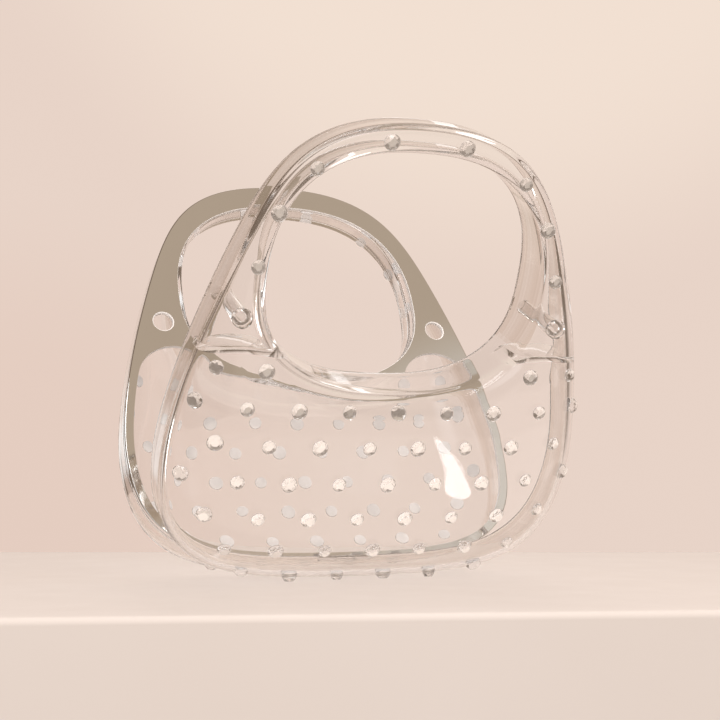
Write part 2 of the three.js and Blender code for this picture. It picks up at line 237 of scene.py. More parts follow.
def make_object(name: str, points: Array, faces: Sequence[Sequence[int]]) -> bpy.types.Object:
    """A mesh object at the origin with its faces turned outwards and shaded smooth.

    Args:
        name: Name of the piece.
        points: Points in metres in the row frame.
        faces: Point numbers of each face.

    Returns:
        The object, linked to the scene.
    """
    flat = points.reshape(-1, 3)
    listed = [list(face) for face in faces]
    if signed_volume(flat, listed) < 0.0:
        listed = [face[::-1] for face in listed]
    mesh = bpy.data.meshes.new(name)
    mesh.from_pydata(flat.tolist(), [], listed)
    shade_smooth(mesh)
    mesh.update()
    obj = bpy.data.objects.new(name, mesh)
    bpy.context.scene.collection.objects.link(obj)
    return obj


def work_in(obj: bpy.types.Object, tools: Sequence[tuple[Join, bpy.types.Object]]) -> None:
    """Adds or cuts each tool in turn and removes the tools.

    Args:
        obj: The solid that is worked.
        tools: Pairs of the way to join and the solid that is joined.
    """
    for join, tool in tools:
        modifier = obj.modifiers.new(tool.name, "BOOLEAN")
        modifier.operation = join.value
        modifier.solver = "MANIFOLD"
        modifier.object = tool
    graph = bpy.context.evaluated_depsgraph_get()
    worked = bpy.data.meshes.new_from_object(obj.evaluated_get(graph))
    obj.modifiers.clear()
    before = obj.data
    obj.data = worked
    worked.name = obj.name
    bpy.data.meshes.remove(before)
    for _, tool in tools:
        data = tool.data
        bpy.data.objects.remove(tool)
        bpy.data.meshes.remove(data)
    shade_smooth(worked)


def settle(
    obj: bpy.types.Object,
    half: Half,
    material: bpy.types.Material,
    nodes: Sequence[str] = (),
) -> bpy.types.Object:
    """Gives a piece its finish, the body that it rides on and the nodes that it stands for.

    Args:
        obj: The piece.
        half: The half that carries it.
        material: Its finish.
        nodes: Names of the CAD nodes that it replaces.

    Returns:
        The piece.
    """
    obj.data.materials.clear()
    obj.data.materials.append(material)
    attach(obj, half.value)
    if nodes:
        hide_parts(*nodes)
    LOG.info("%s rides on %s with %d faces", obj.name, half.value, len(obj.data.polygons))
    return obj


def face_places(mesh: bpy.types.Mesh, half: Half) -> tuple[Array, Array]:
    """Where the faces of a half's piece lie, as seen from the meeting face.

    Args:
        mesh: The piece's mesh.
        half: The half that it belongs to.

    Returns:
        The faces' middles on the meeting face, and the share of their normals along the depth.
    """
    flat = np.empty(3 * len(mesh.polygons), dtype=np.float32)
    mesh.polygons.foreach_get("center", flat)
    x, y, z = flat.reshape(-1, 3).T / METRES
    mesh.polygons.foreach_get("normal", flat)
    depth = flat.reshape(-1, 3) @ np.array(STANCE.outwards(half))
    lean = STANCE.lean
    up = (z - STANCE.hinge_height) * math.cos(lean) - half.facing * y * math.sin(lean)
    return np.stack([half.facing * x, up], axis=-1), depth


class Nodes:
    """Small helper that adds shader nodes and wires them."""

    # Middle range of a noise pattern
    LOW = 0.3
    HIGH = 0.7
    # Numbers of the mix node's colour sockets
    FIRST = 6
    SECOND = 7
    BLEND = 2

    def __init__(self, tree: bpy.types.NodeTree) -> None:
        """Starts from an empty node tree."""
        self.tree = tree
        tree.nodes.clear()

    def add(self, kind: str, **settings: object) -> bpy.types.Node:
        """Adds one node.

        Args:
            kind: The node's type name.
            settings: Values of the node's own properties.

        Returns:
            The node.
        """
        node = self.tree.nodes.new(kind)
        for key, value in settings.items():
            setattr(node, key, value)
        return node

    def wire(self, start: bpy.types.NodeSocket, end: bpy.types.NodeSocket) -> None:
        """Links an output to an input."""
        self.tree.links.new(start, end)

    def noise(self, scale: float, detail: float) -> bpy.types.NodeSocket:
        """A noise pattern fixed to the piece.

        Args:
            scale: Grains per metre.
            detail: Number of finer octaves.

        Returns:
            The socket of its value.
        """
        place = self.add("ShaderNodeTexCoord")
        pattern = self.add("ShaderNodeTexNoise")
        pattern.inputs["Scale"].default_value = scale
        pattern.inputs["Detail"].default_value = detail
        self.wire(place.outputs["Object"], pattern.inputs["Vector"])
        return pattern.outputs["Fac"]

    def along(self, coordinate: str, direction: Direction) -> bpy.types.NodeSocket:
        """How far each place lies along a direction.

        Args:
            coordinate: Name of the texture coordinate that gives the place.
            direction: The direction.

        Returns:
            The socket of the distance.
        """
        place = self.add("ShaderNodeTexCoord")
        dot = self.add("ShaderNodeVectorMath", operation="DOT_PRODUCT")
        dot.inputs[1].default_value = direction
        self.wire(place.outputs[coordinate], dot.inputs[0])
        return dot.outputs["Value"]

    def streaks(self, across: Direction, scale: float, detail: float) -> bpy.types.NodeSocket:
        """A noise pattern that changes along one direction only.

        Args:
            across: The direction square to the streaks.
            scale: Streaks per metre.
            detail: Number of finer octaves.

        Returns:
            The socket of its value.
        """
        pattern = self.add("ShaderNodeTexNoise", noise_dimensions="1D")
        pattern.inputs["Scale"].default_value = scale
        pattern.inputs["Detail"].default_value = detail
        self.wire(self.along("Object", across), pattern.inputs["W"])
        return pattern.outputs["Fac"]

    def spread(self, value: bpy.types.NodeSocket, low: float, high: float) -> bpy.types.NodeSocket:
        """Stretches a pattern's middle range to run between two values.

        Args:
            value: The pattern.
            low: Value at the pattern's low side.
            high: Value at its high side.

        Returns:
            The socket of the stretched value.
        """
        span = self.add("ShaderNodeMapRange")
        span.inputs["From Min"].default_value = self.LOW
        span.inputs["From Max"].default_value = self.HIGH
        span.inputs["To Min"].default_value = low
        span.inputs["To Max"].default_value = high
        self.wire(value, span.inputs["Value"])
        return span.outputs["Result"]

    def mix(
        self,
        factor: bpy.types.NodeSocket,
        first: Colour | bpy.types.NodeSocket,
        second: Colour,
    ) -> bpy.types.NodeSocket:
        """Blends two colours by a pattern.

        Args:
            factor: The pattern, 0 to 1.
            first: Colour at 0, or the socket that gives it.
            second: Colour at 1.

        Returns:
            The socket of the blend.
        """
        blend = self.add("ShaderNodeMix", data_type="RGBA")
        self.wire(factor, blend.inputs["Factor"])
        if isinstance(first, bpy.types.NodeSocket):
            self.wire(first, blend.inputs[self.FIRST])
        else:
            blend.inputs[self.FIRST].default_value = (*first, 1.0)
        blend.inputs[self.SECOND].default_value = (*second, 1.0)
        return blend.outputs[self.BLEND]


@dataclass(frozen=True)
class Finish:
    """A finish with its colour drift, its uneven polish and the slow waviness of its surface.

    The drift is patchy, or streaked where a direction across the streaks is given.
    """

    name: str
    colour: Colour
    drift: Colour
    polish: tuple[float, float]
    metallic: float = 0.0
    transmission: float = 0.0
    ior: float = 1.5
    specular: float = 0.5
    patch_scale: float = 30.0
    polish_scale: float = 120.0
    wave_scale: float = 45.0
    wave_height: float = 0.0
    patch_detail: float = 3.0
    polish_detail: float = 4.0
    wave_detail: float = 2.0
    streak_detail: float = 2.0
    across: Direction | None = None

    def material(self) -> bpy.types.Material:
        """Builds the material.

        Returns:
            A principled surface whose colour, roughness and bump follow noise fixed to the piece.
        """
        material = bpy.data.materials.new(self.name)
        material.use_nodes = True
        nodes = Nodes(material.node_tree)
        out = nodes.add("ShaderNodeOutputMaterial")
        surface = nodes.add("ShaderNodeBsdfPrincipled")
        surface.inputs["Metallic"].default_value = self.metallic
        surface.inputs["Transmission Weight"].default_value = self.transmission
        surface.inputs["IOR"].default_value = self.ior
        surface.inputs["Specular IOR Level"].default_value = self.specular
        if self.across:
            pattern = nodes.streaks(self.across, self.patch_scale, self.streak_detail)
        else:
            pattern = nodes.noise(self.patch_scale, self.patch_detail)
        patches = nodes.spread(pattern, 0.0, 1.0)
        nodes.wire(nodes.mix(patches, self.colour, self.drift), surface.inputs["Base Color"])
        rough = nodes.spread(nodes.noise(self.polish_scale, self.polish_detail), *self.polish)
        nodes.wire(rough, surface.inputs["Roughness"])
        if self.wave_height > 0.0:
            bump = nodes.add("ShaderNodeBump")
            bump.inputs["Strength"].default_value = 1.0
            bump.inputs["Distance"].default_value = self.wave_height
            nodes.wire(nodes.noise(self.wave_scale, self.wave_detail), bump.inputs["Height"])
            nodes.wire(bump.outputs["Normal"], surface.inputs["Normal"])
        nodes.wire(surface.outputs["BSDF"], out.inputs["Surface"])
        return material


ACRYLIC = Finish(
    name="clear_acrylic",
    colour=(0.995, 0.992, 0.99),
    drift=(0.99, 0.986, 0.982),
    polish=(0.0, 0.03),
    transmission=1.0,
    ior=1.49,
    wave_scale=30.0,
    wave_height=0.00002,
)
# Warm brown streaks for the steep walls: painted shade in place of the dark lines that the clear walls
# show edge-on.
ACRYLIC_WALL_SHADE = Finish(
    name="acrylic_painted_wall_shade",
    colour=(0.815, 0.745, 0.685),
    drift=(0.992, 0.984, 0.976),
    polish=(0.0, 0.03),
    transmission=1.0,
    ior=1.49,
    patch_scale=300.0,
)
CRYSTAL = Finish(
    name="crystal",
    colour=(0.99, 0.985, 0.98),
    drift=(0.98, 0.975, 0.97),
    polish=(0.0, 0.015),
    transmission=1.0,
    ior=1.56,
)
FOIL = Finish(
    name="stone_foil",
    colour=(0.97, 0.955, 0.94),
    drift=(0.93, 0.92, 0.91),
    polish=(0.03, 0.08),
    metallic=0.85,
    patch_scale=180.0,
    polish_scale=400.0,
)
BACKING = Finish(
    name="stone_backing",
    colour=(0.62, 0.595, 0.585),
    drift=(0.46, 0.44, 0.43),
    polish=(0.35, 0.55),
    patch_scale=55.0,
    polish_scale=500.0,
)
MIRROR = Finish(
    name="mirror_silver",
    colour=(0.93, 0.92, 0.9),
    drift=(0.9, 0.885, 0.865),
    polish=(0.02, 0.07),
    metallic=1.0,
    wave_scale=20.0,
    wave_height=0.00004,
)
CUT_EDGE = Finish(
    name="cut_edge",
    colour=(0.88, 0.86, 0.85),
    drift=(0.82, 0.8, 0.79),
    polish=(0.3, 0.5),
    patch_scale=200.0,
    polish_scale=400.0,
)
STEEL = Finish(
    name="hinge_steel",
    colour=(0.6, 0.57, 0.53),
    drift=(0.5, 0.47, 0.44),
    polish=(0.2, 0.4),
    metallic=1.0,
    patch_scale=300.0,
    polish_scale=900.0,
)
CHALK = Finish(
    name="pale_ledge",
    colour=(0.62, 0.572, 0.543),
    drift=(0.605, 0.553, 0.52),
    polish=(0.55, 0.75),
    specular=0.3,
    patch_scale=6.0,
    polish_scale=40.0,
)


def bezier(controls: Array, steps: int) -> Array:
    """Points of a cubic curve: the cubic blend of its four control points at even steps.

    Args:
        controls: Four control points.
        steps: Number of steps.

    Returns:
        The points from the first control to the last.
    """
    t = np.linspace(0.0, 1.0, steps + 1)[:, None]
    s = 1.0 - t
    weights = [s**3, 3.0 * s**2 * t, 3.0 * s * t**2, t**3]
    return sum(weight * control for weight, control in zip(weights, controls))


class Contour:
    """A closed contour of the meeting face, alike on both sides.

    It is kept as radius against angle about the middle of the handle hole, the angle taken from
    straight down.
    """

    # Points between rough tries of a distance, points tried on both sides, and angle for a tangent
    STRIDE = 8
    WINDOW = 14
    STEP = 0.01

    def __init__(self, half: Array, middle: float, inwards: float) -> None:
        """Keeps the contour's right half.

        Args:
            half: Points from the bottom to the top on the right side.
            middle: Height of the middle of the handle hole.
            inwards: 1 where the material lies towards that middle, -1 where it lies away from it.
        """
        self.half = half
        self.middle = middle
        self.inwards = inwards
        self.loop = np.vstack([half, half[-2:0:-1] * (-1.0, 1.0)])
        self.angle = np.arctan2(half[:, 0], middle - half[:, 1])
        self.radius = np.hypot(half[:, 0], half[:, 1] - middle)

    def point(self, angle: Array) -> Array:
        """Points of the contour at some angles."""
        wrapped = np.abs((angle + math.pi) % (2.0 * math.pi) - math.pi)
        radius = np.interp(wrapped, self.angle, self.radius)
        return np.stack([radius * np.sin(angle), self.middle - radius * np.cos(angle)], axis=-1)

    def moved(self, angle: Array, inset: Array | float) -> Array:
        """Points moved square to the contour into the material.

        Args:
            angle: Angles about the middle of the handle hole.
            inset: How far the points move, one value or one for each angle.

        Returns:
            The moved points.
        """
        along = unit(self.point(angle + self.STEP) - self.point(angle - self.STEP))
        square = np.stack([-along[..., 1], along[..., 0]], axis=-1)
        shift = np.broadcast_to(inset, np.shape(angle)) * self.inwards
        return self.point(angle) + square * shift[..., None]

    def distance(self, points: Array) -> Array:
        """Shortest distance from points to the contour.

        The nearest of every eighth point is found first, then the nearest of the straight steps
        on both sides of it.

        Args:
            points: Points of the meeting face.

        Returns:
            The distances.
        """
        flat = points.reshape(-1, 2)
        run = np.roll(self.loop, -1, axis=0) - self.loop
        rough = self.loop[:: self.STRIDE]
        away = ((flat[:, None, :] - rough[None]) ** 2).sum(axis=-1)
        near = away.argmin(axis=1) * self.STRIDE
        window = np.arange(-self.WINDOW, self.WINDOW + 1)
        index = (near[:, None] + window) % len(self.loop)
        gap = flat[:, None, :] - self.loop[index]
        step = run[index]
        share = np.clip((gap * step).sum(axis=-1) / (step * step).sum(axis=-1), 0.0, 1.0)
        gap = gap - share[..., None] * step
        return np.sqrt((gap * gap).sum(axis=-1).min(axis=1)).reshape(points.shape[:-1])


@dataclass
class MeetingFace:
    """The flat face where the halves meet: the outline of the bag and its handle hole."""

    half_width: float = 99.7
    widest_at: float = 59.0
    top: float = 213.8
    shoulder: tuple[float, float] = (78.7, 151.0)
    shoulder_lean: float = math.radians(19.5)
    bottom_pull: float = 60.0
    corner_pull: float = 58.0
    side_pull: float = 26.7
    lower_shoulder_pull: float = 24.7
    upper_shoulder_pull: float = 38.7
    top_pull: float = 54.0
    hole_half_width: float = 64.5
    hole_middle: float = 143.3
    hole_rise: float = 57.8
    hole_drop: float = 46.9
    hole_squareness: float = 2.4
    foot_half_width: float = 61.6
    foot_squareness: float = 2.55
    spokes_per_side: int = 180
    curve_steps: int = 320
    fine_steps: int = 4000
    outline: Contour = field(init=False)
    hole: Contour = field(init=False)
    hole_foot: Contour = field(init=False)
    spokes: Array = field(init=False)

    def __post_init__(self) -> None:
        """Works out the contours and the spokes between them."""
        hole = self.hole_half(self.hole_half_width, self.hole_squareness)
        foot = self.hole_half(self.foot_half_width, self.foot_squareness)
        self.outline = Contour(self.outline_half(), self.hole_middle, 1.0)
        self.hole = Contour(hole, self.hole_middle, -1.0)
        self.hole_foot = Contour(foot, self.hole_middle, -1.0)
        self.spokes = self.spoke_angles()

    def outline_half(self) -> Array:
        """The outline's right half: three cubic curves, over the corner, the side and the shoulder.

        Returns:
            Points from the bottom to the top.
        """
        climb = np.array([-math.sin(self.shoulder_lean), math.cos(self.shoulder_lean)])
        shoulder = np.array(self.shoulder)
        widest = np.array([self.half_width, self.widest_at])
        crest = (0.0, self.top)
        under = shoulder - climb * self.lower_shoulder_pull
        over = shoulder + climb * self.upper_shoulder_pull
        controls = [
            [(0.0, 0.0), (self.bottom_pull, 0.0), widest - (0.0, self.corner_pull), widest],
            [widest, widest + (0.0, self.side_pull), under, shoulder],
            [shoulder, over, (self.top_pull, self.top), crest],
        ]
        curves = [bezier(np.array(four, dtype=float), self.curve_steps) for four in controls]
        return np.vstack([curves[0], curves[1][1:], curves[2][1:]])

    def hole_half(self, half_width: float, squareness: float) -> Array:
        """The hole's right half: a rounded-square oval.

        Across it follows the sine and up it the cosine, each to the power 2 over the squareness,
        with one height below the widest line and another above it.

        Args:
            half_width: Half width at the widest line.
            squareness: 2 for an ellipse, more for squarer corners.

        Returns:
            Points from the bottom to the top.
        """
        turn = np.linspace(0.0, math.pi, 3 * self.curve_steps + 1)
        power = 2.0 / squareness
        height = np.where(turn < QUARTER, -self.hole_drop, self.hole_rise)
        x = half_width * np.abs(np.sin(turn)) ** power
        z = self.hole_middle + height * np.abs(np.cos(turn)) ** power
        return np.stack([x, z], axis=-1)

    def spoke_angles(self) -> Array:
        """Angles that share out the length of both contours evenly, right round the bag.

        Returns:
            The angles, from straight down up the right side and down the left.
        """
        fine = np.linspace(0.0, math.pi, self.fine_steps + 1)
        lengths = sum(
            np.linalg.norm(np.diff(contour.point(fine), axis=0), axis=1)
            for contour in (self.outline, self.hole)
        )
        run = np.concatenate([[0.0], np.cumsum(lengths)])
        right = np.interp(np.linspace(0.0, run[-1], self.spokes_per_side + 1), run, fine)
        return np.concatenate([right, -right[-2:0:-1]])

    def width_at(self, z: float) -> float:
        """Half width of the outline at a height, or the widest above it."""
        return float(self.outline.half[self.outline.half[:, 1] >= z, 0].max())

    def bottom_at(self, x: Array) -> Array:
        """Height of the outline's bottom edge at distances from the middle."""
        widest = int(self.outline.half[:, 0].argmax())
        return np.interp(x, self.outline.half[:widest, 0], self.outline.half[:widest, 1])


@dataclass
class Skin:
    """The moulded skin of a half: how deep it lies over each point of the meeting face."""

    face: MeetingFace
    pouch: float = 34.3
    handle: float = 15.0
    depth_ease: tuple[float, float] = (60.0, 205.0)
    share_ease: tuple[float, float] = (80.0, 185.0)
    wall: float = 3.2
    reach: float = 50.0
    reach_blend: float = 8.0
    band_share: float = 0.7
    pouch_share: float = 0.6
    handle_share: float = 0.22
    hole_edge: float = 10.0
    hole_share: float = 0.32
    hole_blend: float = 3.0
    least_edge: float = 1.0
    least_reach: float = 1e-6
    slope_step: float = 0.6

    @staticmethod
    def eased(z: Array, heights: tuple[float, float], handle: float, pouch: float) -> Array:
        """A value that falls as a half cosine from the pouch to the handle.

        Args:
            z: Heights on the meeting face.
            heights: Where the fall starts and ends.
            handle: Value above it.
            pouch: Value below it.

        Returns:
            The values.
        """
        share = np.clip((z - heights[0]) / (heights[1] - heights[0]), 0.0, 1.0)
        return handle + (pouch - handle) * (1.0 + np.cos(math.pi * share)) / 2.0

    @staticmethod
    def lesser(value: Array, most: float, blend: float) -> Array:
        """The lesser of a value and its most, blended smoothly where they are close."""
        near = np.clip(blend - np.abs(value - most), 0.0, None) / blend
        return np.minimum(value, most) - near**2 * blend / 4.0

    def edge(self, span: Array, inset: float) -> Array:
        """Width of the rounding at the handle hole: a share of the band, up to a most.

        Args:
            span: Width of the band between the outline and the hole, both moved by the inset.
            inset: Distance inside the outer skin.

        Returns:
            The widths.
        """
        share = self.hole_share * (span + 2.0 * inset)
        return np.maximum(self.lesser(share, self.hole_edge, self.hole_blend) - inset, self.least_edge)

    def rounding(self, span: Array, inset: float) -> Array:
        """Width of the outer rounding: a share of the band, eased into a longest reach.

        Args:
            span: Width of the band between the outline and the hole, both moved by the inset.
            inset: Distance inside the outer skin.

        Returns:
            The widths.
        """
        share = self.band_share * (span - self.edge(span, inset))
        return self.lesser(share, self.reach - inset, self.reach_blend)

    @staticmethod
    def quarter(share: Array) -> Array:
        """Quarter of an ellipse: 1 at the edge, falling to 0 where the rounding ends."""
        rest = 1.0 - np.clip(share, 0.0, 1.0)
        return 1.0 - np.sqrt(1.0 - rest * rest)

    def depth(self, points: Array, inset: float) -> Array:
        """Depth of the skin.

        The full depth less the inset, less a quarter ellipse towards the outline and another
        towards the handle hole.

        Args:
            points: Points of the meeting face.
            inset: 0 for the outer skin, the wall for the hollow.

        Returns:
            The depths.
        """
        from_outline = np.clip(self.face.outline.distance(points) - inset, 0.0, None)
        from_hole = np.clip(self.face.hole.distance(points) - inset, 0.0, None)
        edge = self.edge(from_outline + from_hole, inset)
        reach = self.rounding(from_outline + from_hole, inset)
        full = self.eased(points[..., 1], self.depth_ease, self.handle, self.pouch)
        share = self.eased(points[..., 1], self.share_ease, self.handle_share, self.pouch_share)
        drop = np.maximum(share * full - inset, self.least_edge)
        outer = drop * self.quarter(from_outline / np.maximum(reach, self.least_reach))
        return full - inset - outer - edge * self.quarter(from_hole / edge)

    def normal(self, points: Array) -> Array:
        """Outward direction of the outer skin, from the slopes of its depth.

        Args:
            points: Points of the meeting face.

        Returns:
            Unit directions in the half's own frame.
        """
        side = np.array([self.slope_step, 0.0])
        up = np.array([0.0, self.slope_step])
        across = self.depth(points + side, 0.0) - self.depth(points - side, 0.0)
        along = self.depth(points + up, 0.0) - self.depth(points - up, 0.0)
        out = np.stack([-across, np.full_like(across, -2.0 * self.slope_step), -along], axis=-1)
        return unit(out)

    def rows(self, inset: float, steps: tuple[int, int, int]) -> Array:
        """The skin as a grid: along each spoke from the outline over the face to the handle hole.

        Args:
            inset: Distance inside the outer skin.
            steps: Steps over the outer rounding, the flat and the rounding at the hole.

        Returns:
            Points, rows by spokes by x, y, z.
        """
        spokes = self.face.spokes
        outer = self.face.outline.moved(spokes, inset)
        inner = self.face.hole.moved(spokes, inset)
        span = np.linalg.norm(outer - inner, axis=-1)
        edge = self.edge(span, inset)
        reach = self.rounding(span, inset)
        curl = 1.0 - np.cos(QUARTER * np.linspace(0.0, 1.0, steps[0] + 1))[:, None]
        flat = np.linspace(0.0, 1.0, steps[1] + 2)[1:-1, None]
        lip = 1.0 - np.cos(QUARTER * np.linspace(1.0, 0.0, steps[2] + 1))[:, None]
        place = np.concatenate([reach * curl, reach + (span - edge - reach) * flat, span - edge * lip])
        points = outer + (inner - outer) * (place / span)[..., None]
        return raised(points, self.depth(points, inset))


@dataclass
class Rim:
    """The rim of a half where the halves meet, and the walls that run down to it."""

    skin: Skin
    base: float
    fillet: float = 1.1
    support: float = 0.25
    wall_steps: int = 6
    turn_steps: int = 4

    def wall(self, edge: Contour, foot: Contour, inset: float, towards: float, top: Array) -> Array:
        """Wall from the skin's edge straight to the rim, with a small round into the rim.

        The round is a quarter circle: it moves across by the radius less its cosine and on by the
        radius less its sine, and one more row holds the rim flat.

        Args:
            edge: The contour that the wall leaves at the skin.
            foot: The contour that it reaches at the rim.
            inset: Its distance into the material.
            towards: 1 where the rim lies further into the material, -1 where it lies back.
            top: Depth of the skin's edge at each spoke.

        Returns:
            Points, rows by spokes by x, y, z, without the skin's own edge.
        """
        spokes = self.skin.face.spokes
        level = np.linspace(0.0, 1.0, self.wall_steps + 1)[1:, None]
        straight = top + (self.base + self.fillet - top) * level
        start = edge.moved(spokes, inset)
        leaning = start + (foot.moved(spokes, inset) - start) * level[..., None]
        turn = np.linspace(0.0, QUARTER, self.turn_steps + 1)[1:]
        across = np.append(self.fillet * (1.0 - np.cos(turn)), self.fillet + self.support)
        down = np.append(self.base + self.fillet * (1.0 - np.sin(turn)), self.base)
        curled = np.stack([foot.moved(spokes, inset + towards * shift) for shift in across])
        points = np.concatenate([leaning, curled])
        depth = np.concatenate([straight, np.repeat(down[:, None], len(spokes), axis=1)])
        return raised(points, depth)


def rod(radius: float, start: float, end: float, chamfer: float, sides: int = 48) -> Array:
    """A round rod along the hinge: a circle carried along x, drawn in a little at both ends.

    Args:
        radius: Radius of the rod.
        start: Where it starts along the hinge.
        end: Where it ends.
        chamfer: Size of the drawn-in ends.
        sides: Points round the circle.

    Returns:
        Points, sections by sides by x, y, z, in the half's own frame.
    """
    turn = whole_turn(sides)
    along = np.array([start, start + chamfer, end - chamfer, end])
    size = np.array([radius - chamfer, radius, radius, radius - chamfer])
    x = np.repeat(along[:, None], sides, axis=1)
    return np.stack([x, size[:, None] * np.cos(turn), size[:, None] * np.sin(turn)], axis=-1)


def prism(loop: Array, start: float, end: float) -> Array:
    """A flat shape of the meeting face carried outwards between two depths.

    Args:
        loop: Points of the shape's edge.
        start: First depth.
        end: Last depth.

    Returns:
        Points, two sections by points by x, y, z.
    """
    return np.stack([raised(loop, start), raised(loop, end)])


def tool_of(name: str, points: Array, half: Half) -> bpy.types.Object:
    """A capped tube of sections as a solid of one half."""
    rows, columns = points.shape[:2]
    return make_object(name, STANCE.place(points, half), tube_faces(rows, columns))


@dataclass
class Hinge:
    """Knuckles along the bottom edge and the pin through them."""

    knuckle: float = 2.2
    relief: float = 2.6
    bore: float = 1.15
    pin: float = 0.8
    pin_length: float = 25.0
    front_half: float = 4.5
    rear_from: float = 4.9
    rear_to: float = 13.0
    end: float = 13.5
    web: float = 2.0
    chamfer: float = 0.25
    bar_chamfer: float = 0.1

    def bar(self, name: str, radius: float, start: float, end: float, half: Half) -> bpy.types.Object:
        """A round bar along the hinge that is worked into a half."""
        return tool_of(name, rod(radius, start, end, self.bar_chamfer), half)

    def front_tools(self) -> list[tuple[Join, bpy.types.Object]]:
        """Reliefs for the rear knuckles, the front knuckle and the bore.

        Returns:
            Pairs of the way to join and the solid.
        """
        half = Half.FRONT
        near = self.front_half
        return [
            (Join.CUT, self.bar("relief_right", self.relief, near, self.end, half)),
            (Join.CUT, self.bar("relief_left", self.relief, -self.end, -near, half)),
            (Join.ADD, self.bar("knuckle", self.knuckle, -near, near, half)),
            (Join.CUT, self.bar("bore", self.bore, -self.end, self.end, half)),
        ]

    def rear_tools(self, base: float) -> list[tuple[Join, bpy.types.Object]]:
        """The rear knuckles with their webs, and the bore.

        Args:
            base: Depth of the rear half's rim.

        Returns:
            Pairs of the way to join and the solid.
        """
        half = Half.REAR
        tools = []
        for side in (-1.0, 1.0):
            ends = sorted((side * self.rear_from, side * self.rear_to))
            tools.append((Join.ADD, tool_of("knuckle", rod(self.knuckle, *ends, self.chamfer), half)))
            corners = [(ends[0], 0.0), (ends[1], 0.0), (ends[1], self.web), (ends[0], self.web)]
            web = prism(np.array(corners), 0.0, base + self.web)
            tools.append((Join.ADD, tool_of("web", web, half)))
        tools.append((Join.CUT, self.bar("bore", self.bore, -self.end, self.end, half)))
        return tools

    def build_pin(self) -> bpy.types.Object:
        """The pin, a plain rod with drawn-in ends."""
        points = rod(self.pin, -self.pin_length / 2.0, self.pin_length / 2.0, self.chamfer)
        pin = tool_of("hinge_pin_rod", points, Half.REAR)
        return settle(pin, Half.REAR, STEEL.material(), ["hinge_pin"])


@dataclass
class Pegs:
    """Clear tubes on the front half that enter the mirror frame's holes, and their seats."""

    skin: Skin
    x: float = 74.3
    z: float = 127.9
    radius: float = 3.8
    bore: float = 2.0
    reach: float = 8.0
    tip: float = 1.0
    seat_radius: float = 4.3
    seat_height: float = 1.9
    hole_radius: float = 5.0
    gap: float = 0.3
    round: float = 0.35
    tip_taper: float = 0.1
    tip_round: float = 0.2
    sides: int = 64

    @property
    def seat_depth(self) -> float:
        """Depth of the seats' tops."""
        spot = np.array([[self.x, self.z]])
        return float(self.skin.depth(spot, self.skin.wall)[0]) - self.seat_height

    def circle(self, side: float, radius: float, sides: int) -> Array:
        """Points of a circle of the meeting face about a peg."""
        return np.array([side * self.x, self.z]) + radius * rays(whole_turn(sides))

    def seat(self, side: float) -> bpy.types.Object:
        """A round seat that stands in the hollow: circles from its rounded top to the mid wall.

        Args:
            side: -1 for the left peg, 1 for the right.

        Returns:
            The solid.
        """
        levels = [(self.seat_radius - self.round, 0.0), (self.seat_radius, self.round)]
        sections = []
        for radius, down in levels:
            sections.append(raised(self.circle(side, radius, self.sides), self.seat_depth + down))
        loop = self.circle(side, self.seat_radius, self.sides)
        sections.append(raised(loop, self.skin.depth(loop, self.skin.wall / 2.0)))
        return tool_of("seat", np.stack(sections), Half.FRONT)

    def build(self, side: float, name: str) -> bpy.types.Object:
        """A peg: a closed profile of tube wall turned about the peg's axis.

        Args:
            side: -1 for the left peg, 1 for the right.
            name: The CAD node that it stands for.

        Returns:
            The piece.
        """
        root = self.gap - self.seat_depth
        step = self.round
        profile = np.array([
            (self.bore, root + step),
            (self.bore + step, root),
            (self.radius - step, root),
            (self.radius, root + step),
            (self.radius, root + 2.0 * step),
            (self.radius, self.reach - self.tip - step),
            (self.radius - self.tip_taper, self.reach - self.tip),
            (self.radius - self.tip + self.tip_round, self.reach - self.tip_round),
            (self.radius - self.tip, self.reach),
            (self.bore + self.tip_round, self.reach),
            (self.bore, self.reach - self.tip_round),
            (self.bore, self.reach - 2.0 * step),
            (self.bore, root + 2.0 * step),
        ])
        turn = whole_turn(self.sides)[:, None]
        points = np.stack(
            [
                side * self.x + profile[:, 0] * np.cos(turn),
                np.broadcast_to(profile[:, 1], (self.sides, len(profile))),
                self.z + profile[:, 0] * np.sin(turn),
            ],
            axis=-1,
        )
        faces = ring_faces(self.sides, len(profile))
        peg = make_object(f"{name}_tube", STANCE.place(points, Half.FRONT), faces)
        return settle(peg, Half.FRONT, ACRYLIC.material(), [name])


